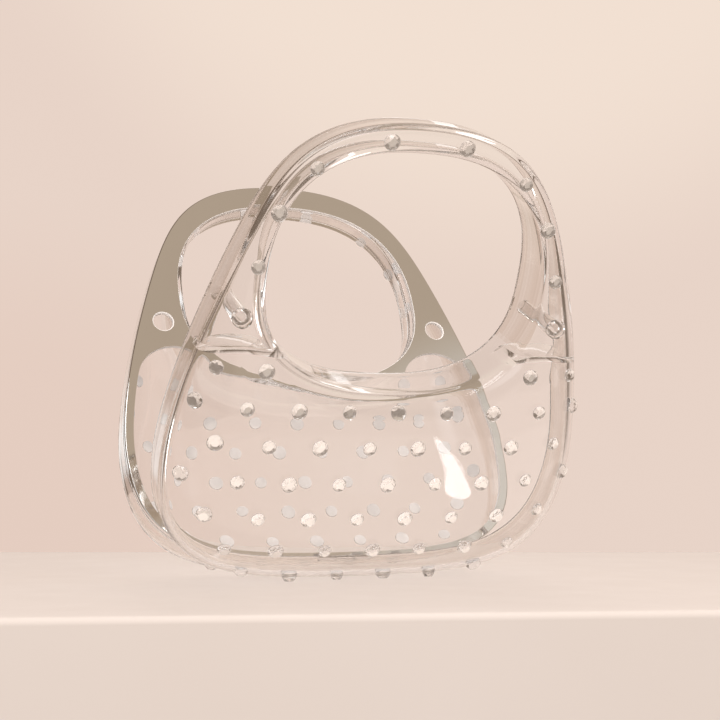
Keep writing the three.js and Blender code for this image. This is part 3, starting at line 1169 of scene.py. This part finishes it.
@dataclass
class HalfShell:
    """A hollow acrylic half: one ring of wall, and the dividers of the front half."""

    skin: Skin
    half: Half
    base: float
    outer_steps: tuple[int, int, int] = (22, 14, 8)
    inner_steps: tuple[int, int, int] = (16, 10, 4)
    divider_x: float = 72.8
    divider_peak: float = 113.5
    divider_radius: float = 40.0
    divider_wall: float = 2.6
    divider_span: float = 24.0
    divider_setback: float = 8.0
    divider_round: float = 0.5
    divider_ease: float = 0.3
    divider_tries: int = 400
    divider_steps: int = 48
    wall_margin: float = 0.6
    wall_slope: float = 0.5
    shoulder_height: float = 117.0

    def ring(self) -> bpy.types.Object:
        """The wall as one closed grid, spokes by a profile that goes right round the wall.

        The profile runs over the outer skin to the handle hole, down the hole's wall, across the
        rim, up into the hollow, back under the skin, down and across the outer rim.

        Returns:
            The solid.
        """
        face = self.skin.face
        wall = self.skin.wall
        rim = Rim(self.skin, self.base)
        outer = self.skin.rows(0.0, self.outer_steps)
        inner = self.skin.rows(wall, self.inner_steps)
        profile = [
            outer,
            rim.wall(face.hole, face.hole_foot, 0.0, 1.0, -outer[-1, :, 1]),
            rim.wall(face.hole, face.hole_foot, wall, -1.0, -inner[-1, :, 1])[::-1],
            inner[::-1],
            rim.wall(face.outline, face.outline, wall, -1.0, -inner[0, :, 1]),
            rim.wall(face.outline, face.outline, 0.0, 1.0, -outer[0, :, 1])[::-1],
        ]
        points = np.concatenate(profile)
        faces = ring_faces(*points.shape[:2])
        return make_object(f"{self.half.word}_shell_acrylic", STANCE.place(points, self.half), faces)

    def divider(self, side: float) -> bpy.types.Object:
        """An arched wall across the shoulder, from a set depth down to the middle of the wall.

        A section of the arch's thickness is carried along a circle. Its corners without a depth of
        their own lie in the middle of the wall.

        Args:
            side: -1 for the left shoulder, 1 for the right.

        Returns:
            The solid.
        """
        spread = math.asin(self.divider_span / self.divider_radius)
        turn = np.linspace(QUARTER - spread, QUARTER + spread, self.divider_tries)
        middle = np.array([side * self.divider_x, self.divider_peak - self.divider_radius])
        centre = middle + rays(turn) * (self.divider_radius + self.divider_wall / 2.0)
        face = self.skin.face
        half_wall = self.skin.wall / 2.0
        clear = np.minimum(face.outline.distance(centre), face.hole.distance(centre)) >= half_wall
        inside = np.abs(centre[:, 0]) <= np.array([face.width_at(z) for z in centre[:, 1]])
        kept = turn[clear & inside]
        spoke = rays(np.linspace(kept[0], kept[-1], self.divider_steps))
        near = self.divider_radius
        far = self.divider_radius + self.divider_wall
        top = self.divider_setback
        step = self.divider_round
        ease = self.divider_ease * step
        section = [
            (near + step, top),
            (far - step, top),
            (far - ease, top + ease),
            (far, top + step),
            (far, None),
            (near, None),
            (near, top + step),
            (near + ease, top + ease),
        ]
        columns = []
        for radius, depth in section:
            flat = middle + spoke * radius
            columns.append(raised(flat, self.skin.depth(flat, half_wall) if depth is None else depth))
        return tool_of("divider", np.stack(columns, axis=1), self.half)

    def build(self, extra: Sequence[tuple[Join, bpy.types.Object]]) -> bpy.types.Object:
        """The shell with what is worked into it.

        Args:
            extra: Solids to add or cut.

        Returns:
            The piece.
        """
        shell = self.ring()
        work_in(shell, extra)
        shell.visible_shadow = False
        node = f"{self.half.word}_shell"
        settle(shell, self.half, ACRYLIC.material(), [node])
        # Paints shade onto the steep walls as warm brown streaks.
        self.paint_wall_shade(shell.data)
        return shell

    def paint_wall_shade(self, mesh: bpy.types.Mesh) -> None:
        """Tints the outer wall and the wall of the handle hole with warm brown streaks, a painted
        shade for the dark lines that these clear walls show edge-on.

        They are the steep faces that stand no further from the outline than the wall is thick, or
        from the hole above the shoulders. The streaks run round the bag, square to the depth.

        Args:
            mesh: The shell's mesh.
        """
        spots, depth = face_places(mesh, self.half)
        reach = self.skin.wall + self.wall_margin
        at_hole = self.skin.face.hole.distance(spots) < reach
        at_hole &= spots[:, 1] > self.shoulder_height
        at_outline = self.skin.face.outline.distance(spots) < reach
        streaked = (at_hole | at_outline) & (np.abs(depth) < self.wall_slope)
        # This finish is painted shade: warm brown streaks in place of the dark edge-on lines of the
        # walls.
        walls = replace(ACRYLIC_WALL_SHADE, across=STANCE.outwards(self.half))
        mesh.materials.append(walls.material())
        mesh.polygons.foreach_set("material_index", streaked.astype(np.int32))


@dataclass
class StoneField:
    """The cut stones of one half, in rows on the pouch, on the shoulders and on the handle.

    A row is its height, how much lower it sits on the rear half, and the number of its last column.
    A single stone, one on each side, is its place on the meeting face and whether it is large.
    """

    skin: Skin
    half: Half
    large: float = 7.4
    small: float = 6.4
    rise: float = 0.3
    table: float = 0.58
    girdle: float = 0.12
    kite_radius: float = 0.78
    base_share: float = 0.98
    pitch: float = 23.2
    side_margin: float = 5.4
    row_rise: float = 2.0
    rows: tuple[tuple[float, float, float], ...] = (
        (89.8, 2.5, 4.0),
        (73.4, 2.0, 3.5),
        (56.1, 1.0, 4.0),
        (38.8, 0.5, 3.5),
        (21.6, 0.6, 3.0),
    )
    singles: tuple[tuple[float, float, bool], ...] = (
        (62.7, 107.0, True),
        (84.0, 107.5, False),
        (70.0, 150.0, False),
        (63.0, 172.5, True),
        (48.7, 192.0, False),
        (17.5, 205.5, True),
    )
    bottom_last: float = 2.5
    bottom_inset: float = 4.3
    feet_to: float = 1.5
    foot_sunk: float = 1.6
    seat_gap: float = 0.05
    foil_depth: float = 0.3
    back_depth: float = 0.6
    layer_gap: float = 0.01
    foil_share: float = 0.96
    turn_step: float = 2.4

    def sizes(self, column: Array) -> Array:
        """Diameters: large and small in turn along a row."""
        return np.where(np.floor(column) % 2 == 0, self.large, self.small)

    def places(self) -> tuple[Array, Array, Array]:
        """Where the stones are.

        Returns:
            Their points on the meeting face, their diameters, and which of them are feet.
        """
        face = self.skin.face
        groups = []
        for height, rear_drop, last in self.rows:
            column = np.arange(-last, last + 0.5)
            limit = face.width_at(height) - self.side_margin
            x = np.clip(column * self.pitch, -limit, limit)
            level = height - rear_drop if self.half is Half.REAR else height
            z = level + self.row_rise * (x / face.half_width) ** 2
            groups.append((x, z, self.sizes(column), np.zeros(len(x), dtype=bool)))
        x, z, large = np.array(self.singles).T
        size = np.where(large > 0.0, self.large, self.small)
        for side in (-1.0, 1.0):
            groups.append((side * x, z, size, np.zeros(len(x), dtype=bool)))
        column = np.arange(-self.bottom_last, self.bottom_last + 0.5)
        x = column * self.pitch
        z = face.bottom_at(np.abs(x)) + self.bottom_inset
        groups.append((x, z, self.sizes(column), np.abs(column) <= self.feet_to))
        x, z, size, foot = (np.concatenate(part) for part in zip(*groups))
        return np.stack([x, z], axis=-1), size, foot

    def frames(self) -> tuple[Array, Array, Array, Array]:
        """Seat, axes, radius and height of each stone.

        A stone stands square on the skin. A foot points straight down and its table reaches the
        surface that the bag stands on.

        Returns:
            Seats, three axes each (two across and one out), radii, and base and table heights.
        """
        spots, size, foot = self.places()
        seat = raised(spots, self.skin.depth(spots, 0.0))
        lean = STANCE.lean
        down = np.array([0.0, -math.sin(lean), -math.cos(lean)])
        out = np.where(foot[:, None], down, self.skin.normal(spots))
        standing = STANCE.place(seat, self.half)[:, 2] / METRES
        top = np.where(foot, standing, self.rise * size)
        low = np.where(foot, -self.foot_sunk / 2.0, self.seat_gap)
        side = unit(np.cross(out, UP))
        turn = self.turn_step * np.arange(len(out))[:, None]
        other = np.cross(out, side)
        first = side * np.cos(turn) + other * np.sin(turn)
        second = np.cross(out, first)
        return seat, np.stack([first, second, out], axis=1), size / 2.0, np.stack([low, top], axis=-1)

    def crown(self) -> tuple[Array, list[list[int]]]:
        """A cut stone of radius 1: table, stars, kites, upper girdle facets, girdle and base.

        The kites' side corners are set at the height that keeps the kites flat.

        Returns:
            Points as x, y and share of the height, and the faces.
        """
        eighth = whole_turn(8)
        sixteenth = whole_turn(16)
        across = self.kite_radius * math.cos(math.pi / 8.0)
        kite_height = 1.0 - (1.0 - self.girdle) * (across - self.table) / (1.0 - self.table)

        def circle(turn: Array, radius: float, height: float) -> Array:
            """Points of a level circle."""
            return np.column_stack([radius * rays(turn), np.full(len(turn), height)])

        points = np.vstack([
            circle(eighth, self.table, 1.0),
            circle(eighth + math.pi / 8.0, self.kite_radius, kite_height),
            circle(sixteenth, 1.0, self.girdle),
            circle(sixteenth, self.base_share, 0.0),
        ])
        faces: list[list[int]] = [list(range(8)), list(range(32, 48))[::-1]]
        for index in range(8):
            after = (index + 1) % 8
            before = (index - 1) % 8
            corner = 16 + 2 * index
            beside = 16 + (2 * index + 1) % 16
            onward = 16 + (2 * index + 2) % 16
            faces.append([index, 8 + index, after])
            faces.append([index, 8 + before, corner, 8 + index])
            faces.append([8 + index, corner, beside])
            faces.append([8 + index, beside, onward])
        for index in range(16):
            after = (index + 1) % 16
            faces.append([16 + index, 32 + index, 32 + after, 16 + after])
        return points, faces

    def spread(
        self, name: str, points: Array, faces: list[list[int]], levels: Array
    ) -> bpy.types.Object:
        """One mesh of a shape repeated at every stone.

        Args:
            name: Name of the piece.
            points: The shape's points, x and y in radii, and a share between two levels.
            faces: The shape's faces.
            levels: Heights of share 0 and share 1 for each stone.

        Returns:
            The object.
        """
        seat, axes, radius, _ = self.frames()
        height = levels[:, :1] + (levels[:, 1:] - levels[:, :1]) * points[None, :, 2]
        flat = points[None, :, :2] * radius[:, None, None]
        local = np.concatenate([flat, height[..., None]], axis=-1)
        placed = seat[:, None, :] + np.einsum("spk,skc->spc", local, axes)
        count = len(points)
        listed = []
        for stone in range(len(seat)):
            listed += [[corner + count * stone for corner in one] for one in faces]
        obj = make_object(name, STANCE.place(placed, self.half), listed)
        obj.data.polygons.foreach_set("use_smooth", np.zeros(len(obj.data.polygons), dtype=bool))
        return obj

    def build(self) -> list[bpy.types.Object]:
        """The crystals of a half, the foil under them and the paint behind the foil.

        Returns:
            The three pieces.
        """
        levels = self.frames()[3]
        base = levels[:, 0]
        foil = base - self.foil_depth
        thin = np.stack([foil, base - self.layer_gap], axis=-1)
        under = np.stack([base - self.back_depth, foil - self.layer_gap], axis=-1)
        rim = self.foil_share * rays(whole_turn(16))
        ends = [np.column_stack([rim, np.full(len(rim), share)]) for share in (0.0, 1.0)]
        disc = (np.vstack(ends), tube_faces(2, len(rim)))
        kinds = [
            ("crystals", self.crown(), levels, "clear_acrylic", CRYSTAL),
            ("stone_foils", disc, thin, "mirror_silver", FOIL),
            ("stone_backs", disc, under, "mirror_silver", BACKING),
        ]
        pieces = []
        for name, shape, heights, slot, finish in kinds:
            piece = self.spread(f"{self.half.word}_{name}", *shape, heights)
            piece.visible_shadow = False
            pieces.append(settle(piece, self.half, finish.material()))
        return pieces


@dataclass
class MirrorFrame:
    """The silvered frame on the rear half's meeting face, with its openings cut through."""

    skin: Skin
    pegs: Pegs
    hinge: Hinge
    gap: float = 0.3
    thickness: float = 2.0
    border: float = 4.4
    strip: tuple[float, float] = (1.5, 7.5)
    strip_reach: tuple[float, float] = (20.0, 54.0)
    lobe: tuple[float, float] = (70.2, 94.2)
    lobe_radius: float = 19.8
    lobe_from: float = math.radians(13.0)
    lobe_to: float = math.radians(149.0)
    lobe_clear: float = 1.0
    edge_width: float = 0.6
    edge_depth: float = 0.4
    edge_steps: int = 8
    edge_hold: float = 0.3
    back_edge: float = 0.2
    chamfer_hold: float = 0.2
    fine_steps: int = 720
    lobe_steps: int = 56
    hole_chamfer: float = 0.5
    hole_sides: int = 72
    sawn_slope: float = 0.9
    sawn_inset: float = 1.0

    def ring(self) -> bpy.types.Object:
        """The frame's band between the outline and the handle hole, as one closed grid.

        The front edge along the outline falls away as a parabola, wider across than it is deep,
        and the other edges are small chamfers.

        Returns:
            The solid.
        """
        face = self.skin.face
        front = self.gap
        back = self.gap + self.thickness
        share = np.linspace(0.0, 1.0, self.edge_steps + 1)
        inset = self.edge_width * share
        depth = front + self.edge_depth * (1.0 - share) ** 2
        chamfer = self.back_edge
        rows = [(face.outline, across, down) for across, down in zip(inset, depth)]
        rows += [
            (face.outline, self.edge_width + self.edge_hold, front),
            (face.hole, chamfer + self.chamfer_hold, front),
            (face.hole, chamfer, front),
            (face.hole, 0.0, front + chamfer),
            (face.hole, 0.0, back - chamfer),
            (face.hole, chamfer, back),
            (face.outline, chamfer, back),
            (face.outline, 0.0, back - chamfer),
        ]
        points = np.stack([
            raised(contour.moved(face.spokes, across), down) for contour, across, down in rows
        ])
        faces = ring_faces(*points.shape[:2])
        return make_object("mirror_frame", STANCE.place(points, Half.REAR), faces)

    def opening(self) -> Array:
        """Edge of the pouch opening.

        It keeps a border along the outline, rises in a round lobe at each shoulder and leaves a
        strip under the handle hole, which tapers as a smooth step from the lobes to the middle.

        Returns:
            Points of the closed loop.
        """
        face = self.skin.face
        lobe = np.array(self.lobe)
        angles = np.linspace(0.0, math.pi, self.fine_steps + 1)
        lower = angles[: self.fine_steps // 2 + 1]
        side = face.outline.moved(angles, self.border)
        start = lobe[1] + self.lobe_radius * math.sin(self.lobe_from)
        side = side[: int(np.argmax(side[:, 1] >= start - self.lobe_clear))]
        turn = np.linspace(self.lobe_from, self.lobe_to, self.lobe_steps + 1)
        arc = lobe + self.lobe_radius * rays(turn)
        inmost, outmost = self.strip_reach
        taper = np.clip((face.hole.point(lower)[:, 0] - inmost) / (outmost - inmost), 0.0, 1.0)
        taper = taper**2 * (3.0 - 2.0 * taper)
        thin, thick = self.strip
        under = face.hole.moved(lower, thin + (thick - thin) * taper)
        end = lobe[0] + self.lobe_radius * math.cos(self.lobe_to)
        under = under[: int(np.argmax(under[:, 0] >= end - self.lobe_clear))][::-1]
        right = np.vstack([side, arc, under])
        return np.vstack([right, right[-2:0:-1] * (-1.0, 1.0)])

    def build(self) -> bpy.types.Object:
        """The frame with the pouch opening, the peg holes and the notch for the hinge cut out.

        Returns:
            The piece.
        """
        plate = self.ring()
        deep = 2.0 * self.thickness
        cuts = [tool_of("opening", prism(self.opening(), -deep, deep), Half.REAR)]
        for side in (-1.0, 1.0):
            cuts.append(self.peg_hole(side))
        end = self.hinge.end
        low = self.hinge.relief
        notch = np.array([(-end, -low), (end, -low), (end, low), (-end, low)])
        cuts.append(tool_of("notch", prism(notch, -deep, deep), Half.REAR))
        work_in(plate, [(Join.CUT, cut) for cut in cuts])
        plate.visible_shadow = False
        settle(plate, Half.REAR, MIRROR.material(), ["mirror_plate"])
        self.dress_cuts(plate.data)
        return plate

    def dress_cuts(self, mesh: bpy.types.Mesh) -> None:
        """Gives the sawn walls of the frame's openings and their chamfers a pale finish.

        They are the faces that don't lie flat on the sheet and stand away from the outline, whose
        wall is silvered.

        Args:
            mesh: The frame's mesh.
        """
        spots, depth = face_places(mesh, Half.REAR)
        away = self.skin.face.outline.distance(spots)
        sawn = (np.abs(depth) < self.sawn_slope) & (away > self.sawn_inset)
        mesh.materials.append(CUT_EDGE.material())
        mesh.polygons.foreach_set("material_index", sawn.astype(np.int32))

    def peg_hole(self, side: float) -> bpy.types.Object:
        """The cutter of a peg hole: circles that widen at the face to leave a chamfer.

        Args:
            side: -1 for the left hole, 1 for the right.

        Returns:
            The solid.
        """
        radius = self.pegs.hole_radius
        wide = radius + self.hole_chamfer
        beyond = 2.0 * self.thickness
        levels = [
            (wide, -beyond),
            (wide, self.gap),
            (radius, self.gap + self.hole_chamfer),
            (radius, beyond),
        ]
        circle = self.pegs.circle
        sections = [raised(circle(side, size, self.hole_sides), depth) for size, depth in levels]
        return tool_of("peg_hole", np.stack(sections), Half.REAR)


@dataclass(frozen=True)
class Patch:
    """A soft-edged round patch of the surround, full within its core and gone at its rim."""

    towards: Direction
    core: float
    rim: float
    colour: Colour


@dataclass(frozen=True)
class Softbox:
    """A soft panel of light: where it stands from the spot that it aims at, its size and radiance.

    One that isn't mirrored is a rectangle that lights matt surfaces only, and doesn't show in
    polished ones. A mirrored one is an ellipse. The roll turns the panel about its line of aim, in
    degrees.
    """

    name: str
    towards: Direction
    distance: float
    width: float
    height: float
    radiance: float
    colour: Colour
    mirrored: bool
    roll: float = 0.0
    aim: Direction = (0.0, 0.0, 0.1)


@dataclass
class Studio:
    """Camera, surround, lights and the ledge that the bag stands on."""

    focal_pixels: float = 1473.5
    image_pixels: float = 720.0
    sensor: float = 36.0
    clip: tuple[float, float] = (0.01, 50.0)
    camera_at: Direction = (-0.2603, -0.6580, 0.0587)
    forward: Direction = (0.3781, 0.9237, 0.0621)
    room: Colour = (0.19, 0.14, 0.105)
    patches: tuple[Patch, ...] = (
        Patch((0.37, -0.52, 0.75), 24.0, 42.0, (0.455, 0.365, 0.282)),
        Patch((0.47, 0.85, 0.20), 34.0, 52.0, (0.805, 0.655, 0.575)),
        Patch((0.456, 0.864, 0.475), 11.0, 21.0, (0.885, 0.745, 0.645)),
        Patch((0.15, 1.0, -0.05), 3.0, 13.0, (0.78, 0.612, 0.53)),
        Patch((-0.25, 0.97, 0.05), 5.0, 10.0, (1.05, 1.04, 1.03)),
        Patch((0.466, -0.60, 0.655), 3.5, 8.0, (0.64, 0.59, 0.53)),
        Patch((0.38, -0.64, -0.67), 22.0, 36.0, (0.56, 0.47, 0.4)),
        Patch((-0.3, -0.83, 0.47), 8.0, 22.0, (1.2, 1.2, 1.22)),
    )
    softboxes: tuple[Softbox, ...] = (
        Softbox("floor_fill", (0.1, -0.2, 1.0), 1.4, 3.0, 3.0, 1.54, (1.0, 0.935, 0.895), False),
        Softbox("front_fill", (-0.35, -0.9, 0.15), 1.6, 1.6, 0.8, 4.5, (1.0, 0.935, 0.89), False),
        Softbox(
            "front_strip", (-0.152, -0.586, 0.796), 1.32, 0.78, 0.15, 5.6, (0.94, 0.97, 1.0), True,
            roll=-13.4,
        ),
        Softbox("back_strip", (0.38, 0.75, 0.57), 1.4, 0.8, 0.12, 0.8, (0.93, 0.96, 1.0), True),
        Softbox(
            "ledge_card", (0.0, 0.001, -1.0), 0.098, 0.36, 0.1, 0.26, (1.0, 0.94, 0.88), True,
            aim=(0.04, -0.09, 0.1),
        ),
    )
    bounces: int = 32
    ledge_front: float = 0.538
    ledge_back: float = 0.872
    ledge_slant: float = 0.1
    ledge_half_length: float = 1.6
    ledge_drop: float = 0.5
    ledge_round: float = 0.003
    ledge_hold: float = 0.02
    ledge_turns: int = 7
    ledge_sections: int = 41

    def axes(self) -> tuple[Array, Array, Array]:
        """Camera axes: right, up and forward."""
        ahead = unit(np.array(self.forward))
        right = unit(np.cross(ahead, UP))
        return right, np.cross(right, ahead), ahead

    def camera(self) -> None:
        """The camera at the photograph's place, with its field of view."""
        right, up, ahead = self.axes()
        data = bpy.data.cameras.new("camera")
        data.sensor_width = self.sensor
        data.lens = self.focal_pixels * self.sensor / self.image_pixels
        data.clip_start, data.clip_end = self.clip
        obj = bpy.data.objects.new("camera", data)
        obj.matrix_world = pose_of([right, up, -ahead], self.camera_at)
        bpy.context.scene.collection.objects.link(obj)
        bpy.context.scene.camera = obj

    def surround(self) -> None:
        """The world: an even backdrop with soft patches, worked out from the view direction."""
        world = bpy.data.worlds.new("studio_surround")
        world.use_nodes = True
        nodes = Nodes(world.node_tree)
        out = nodes.add("ShaderNodeOutputWorld")
        glow = nodes.add("ShaderNodeBackground")
        colour: Colour | bpy.types.NodeSocket = self.room
        for patch in self.patches:
            towards = tuple(unit(np.array(patch.towards)))
            span = nodes.add("ShaderNodeMapRange", interpolation_type="SMOOTHSTEP")
            span.inputs["From Min"].default_value = math.cos(math.radians(patch.rim))
            span.inputs["From Max"].default_value = math.cos(math.radians(patch.core))
            nodes.wire(nodes.along("Generated", towards), span.inputs["Value"])
            colour = nodes.mix(span.outputs["Result"], colour, patch.colour)
        nodes.wire(colour, glow.inputs["Color"])
        nodes.wire(glow.outputs["Background"], out.inputs["Surface"])
        bpy.context.scene.world = world

    def light(self, box: Softbox) -> None:
        """One soft panel, turned to the bag and hidden from the camera.

        Args:
            box: The panel.
        """
        towards = unit(np.array(box.towards))
        data = bpy.data.lights.new(box.name, "AREA")
        data.shape = "ELLIPSE" if box.mirrored else "RECTANGLE"
        data.size = box.width
        data.size_y = box.height
        area = box.width * box.height * (math.pi / 4.0 if box.mirrored else 1.0)
        data.energy = box.radiance * math.pi * area
        data.color = box.colour
        data.cycles.use_multiple_importance_sampling = box.mirrored
        level = unit(np.cross(UP, towards))
        roll = math.radians(box.roll)
        side = level * math.cos(roll) + np.cross(towards, level) * math.sin(roll)
        at = np.array(box.aim) + towards * box.distance
        obj = bpy.data.objects.new(box.name, data)
        obj.matrix_world = pose_of([side, np.cross(towards, side), towards], at)
        obj.visible_camera = False
        obj.visible_glossy = box.mirrored
        obj.visible_transmission = box.mirrored
        bpy.context.scene.collection.objects.link(obj)

    def ledge(self) -> None:
        """The pale ledge: a section with a rounded front edge carried along its length."""
        right, _, ahead = self.axes()
        level = unit(np.array([ahead[0], ahead[1], 0.0]))
        foot = np.array([self.camera_at[0], self.camera_at[1], 0.0])
        turn = np.linspace(0.0, QUARTER, self.ledge_turns)
        size = self.ledge_round
        front = self.ledge_front
        back = self.ledge_back
        section = np.array([
            (back, -self.ledge_drop),
            (front, -self.ledge_drop),
            *zip(front + size * (1.0 - np.cos(turn)), size * (np.sin(turn) - 1.0)),
            (front + self.ledge_hold, 0.0),
            (back - self.ledge_hold, 0.0),
            *zip(back - size * (1.0 - np.sin(turn)), size * (np.cos(turn) - 1.0)),
        ])
        reach = self.ledge_half_length
        along = np.linspace(-reach, reach, self.ledge_sections)[:, None]
        front_share = np.clip((back - section[:, 0]) / (back - front), 0.0, 1.0)
        away = section[:, 0] + self.ledge_slant * front_share * along
        height = np.broadcast_to(section[:, 1], away.shape)
        points = foot + away[..., None] * level + along[..., None] * right + height[..., None] * UP
        ledge = make_object("pale_ledge", points, tube_faces(*points.shape[:2]))
        ledge.data.materials.append(CHALK.material())

    def build(self) -> None:
        """Sets up the camera, the world, the lights and the ledge."""
        scene = bpy.context.scene
        scene.view_settings.view_transform = "Standard"
        scene.cycles.max_bounces = self.bounces
        scene.cycles.glossy_bounces = self.bounces
        scene.cycles.transmission_bounces = self.bounces
        self.camera()
        self.surround()
        for box in self.softboxes:
            self.light(box)
        self.ledge()


def main() -> None:
    """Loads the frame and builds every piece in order."""
    logging.basicConfig(level=logging.INFO, format="%(name)s: %(message)s")
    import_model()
    skin = Skin(MeetingFace())
    pegs = Pegs(skin)
    hinge = Hinge()
    frame = MirrorFrame(skin, pegs, hinge)
    rear_base = frame.gap + frame.thickness + frame.gap
    front = HalfShell(skin, Half.FRONT, 0.0)
    inner = [(Join.ADD, make(side)) for make in (front.divider, pegs.seat) for side in (-1.0, 1.0)]
    front.build([*inner, *hinge.front_tools()])
    HalfShell(skin, Half.REAR, rear_base).build(hinge.rear_tools(rear_base))
    frame.build()
    for side, name in ((-1.0, "peg_left"), (1.0, "peg_right")):
        pegs.build(side, name)
    hinge.build_pin()
    for half in Half:
        StoneField(skin, half).build()
    Studio().build()


if __name__ == "__main__":
    main()
